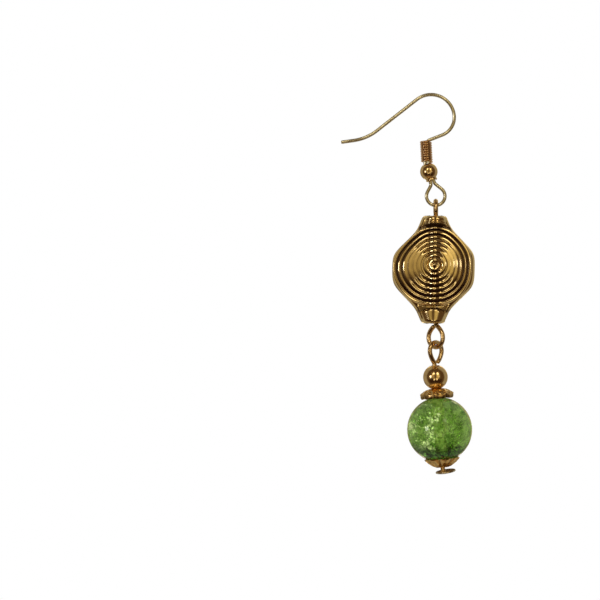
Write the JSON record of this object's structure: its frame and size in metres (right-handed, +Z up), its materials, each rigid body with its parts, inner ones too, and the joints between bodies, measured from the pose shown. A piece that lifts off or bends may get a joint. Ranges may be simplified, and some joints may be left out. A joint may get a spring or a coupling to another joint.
{
  "type": "dangle earring",
  "caption": "Drop earring on an open wire hook: a flat metal bead ringed with ripples, and below it a round crackled green glass bead in scalloped caps on a pin.",
  "frame": {"origin": "underside of the top of the hook's bow, on the wire's own plane, where the earring hangs in the ear", "axes": "+Z up; -Y towards the viewer, the front of the flat bead; +X to the right, away from the hook's free end"},
  "size_m": [0.0206, 0.01, 0.0587],
  "materials": {
    "hook_wire": "pale gold plated wire, polished",
    "pin_wire": "gold plated wire, polished, a little tarnished",
    "gold_trim": "warm gold plated, polished",
    "antique_gold": "antique gold, polished crests and dark grooves",
    "green_glass": "clear green glass, crackled inside"
  },
  "bodies": {
    "hook": {"ear_hook": "hook_wire", "coil_wrap": "gold_trim", "hook_ball": "gold_trim"},
    "link": {"eye_pin": "pin_wire"},
    "flat_bead": {"ripple_bead": "antique_gold"},
    "drop": {"head_pin": "pin_wire"},
    "drop_beads": {"spacer_ball": "gold_trim", "upper_cap": "gold_trim", "crackle_bead": "green_glass", "lower_cap": "gold_trim"}
  },
  "joints": [
    {"name": "link_swing", "type": "hinge", "parent": "hook", "child": "link", "pos_m": [0.00071, 0, -0.01677], "axis": [1, 0, 0], "range_deg": [-80, 80]},
    {"name": "bead_turn", "type": "hinge", "parent": "link", "child": "flat_bead", "pos_m": [0.00046, 0, -0.02665], "axis": [0.0209, 0, 0.9998], "continuous": true},
    {"name": "drop_swing", "type": "hinge", "parent": "link", "child": "drop", "pos_m": [0.00071, 0, -0.0386], "axis": [0.7071, -0.7071, 0], "range_deg": [-80, 80]},
    {"name": "drop_turn", "type": "hinge", "parent": "drop", "child": "drop_beads", "pos_m": [0.0005, -0.00021, -0.0412], "axis": [-0.0802, 0, 0.9968], "continuous": true}
  ]
}
